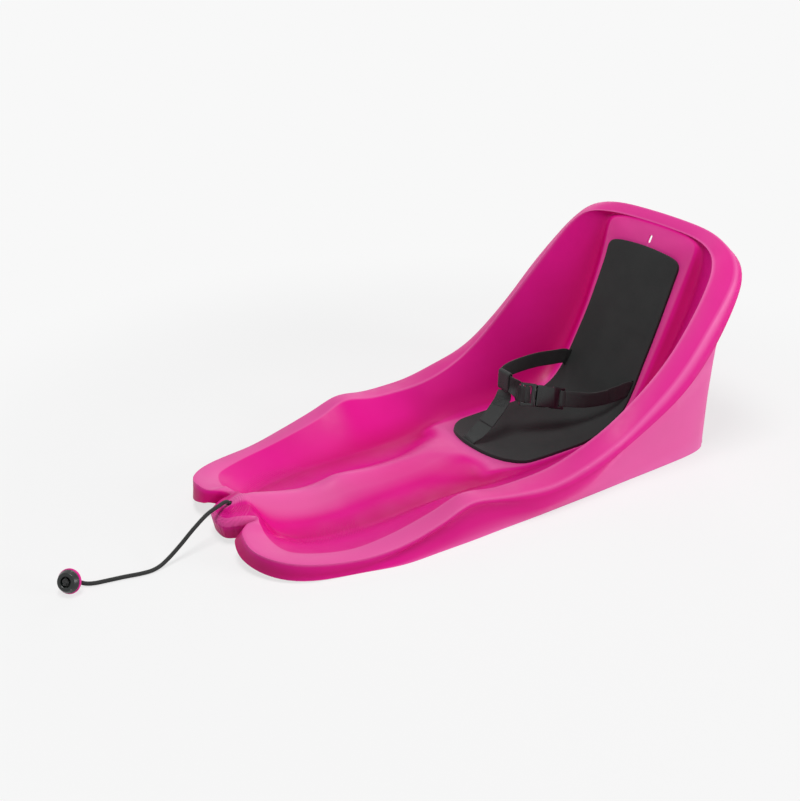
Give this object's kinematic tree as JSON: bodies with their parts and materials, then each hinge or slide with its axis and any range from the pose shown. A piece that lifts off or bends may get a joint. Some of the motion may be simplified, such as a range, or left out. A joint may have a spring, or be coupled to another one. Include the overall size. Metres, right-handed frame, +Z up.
{
  "type": "baby pull sled",
  "caption": "Moulded baby sled with leg troughs, padded seat with a high back, lap belt with a side release buckle, crotch strap and a tow cord with a pull knob.",
  "frame": {"origin": "middle of the base of the sled on the ground, measured without the tow cord and what is on it", "axes": "+Z up, the nose points to -Y, +X is the side of the buckle housing's belt"},
  "size_m": [0.401, 1.0016, 0.3214],
  "materials": {
    "pink_plastic": "satin moulded polyethylene with a fine grain",
    "pad_foam": "matt closed-cell foam sheet, smooth skin",
    "webbing": "woven polypropylene webbing",
    "black_plastic": "satin moulded acetal",
    "cord_braid": "braided polypropylene cord"
  },
  "bodies": {
    "sled": {"sled_shell": "pink_plastic", "seat_pad": "pad_foam", "lap_belt_left": "webbing", "lap_belt_right": "webbing", "crotch_strap": "webbing", "belt_anchor_left": "black_plastic", "belt_anchor_right": "black_plastic", "crotch_anchor": "black_plastic", "buckle_tongue": "black_plastic", "nose_knot": "cord_braid", "tow_cord": "cord_braid"},
    "buckle_socket": {"buckle_housing": "black_plastic"},
    "latch_arm_upper": {"latch_arm_upper": "black_plastic"},
    "latch_arm_lower": {"latch_arm_lower": "black_plastic"},
    "pull_knob": {"pull_knob_cap": "black_plastic", "pull_knob_back": "pink_plastic", "knob_knot": "cord_braid"}
  },
  "joints": [
    {"name": "buckle_release", "type": "slide", "parent": "sled", "child": "buckle_socket", "axis": [0.3568, 0.9075, -0.2217], "range_m": [0, 0.026], "deforming": ["lap_belt_right"]},
    {"name": "latch_arm_upper_flex", "type": "hinge", "parent": "sled", "child": "latch_arm_upper", "pos_m": [0.01072, 0.14329, 0.0805], "axis": [0.8682, -0.2345, 0.4372], "range_deg": [-14, 0]},
    {"name": "latch_arm_lower_flex", "type": "hinge", "parent": "sled", "child": "latch_arm_lower", "pos_m": [0.01693, 0.13702, 0.06482], "axis": [0.8682, -0.2345, 0.4372], "range_deg": [0, 14]},
    {"name": "knob_spin", "type": "hinge", "parent": "sled", "child": "pull_knob", "pos_m": [0.0107, -0.59147, 0.0162], "axis": [0.6202, -0.6202, 0.4802], "continuous": true}
  ],
  "couplings": [
    {"joint": "latch_arm_upper_flex", "follows": "buckle_release", "rad_per_m": -8.5},
    {"joint": "latch_arm_lower_flex", "follows": "buckle_release", "rad_per_m": 8.5}
  ]
}
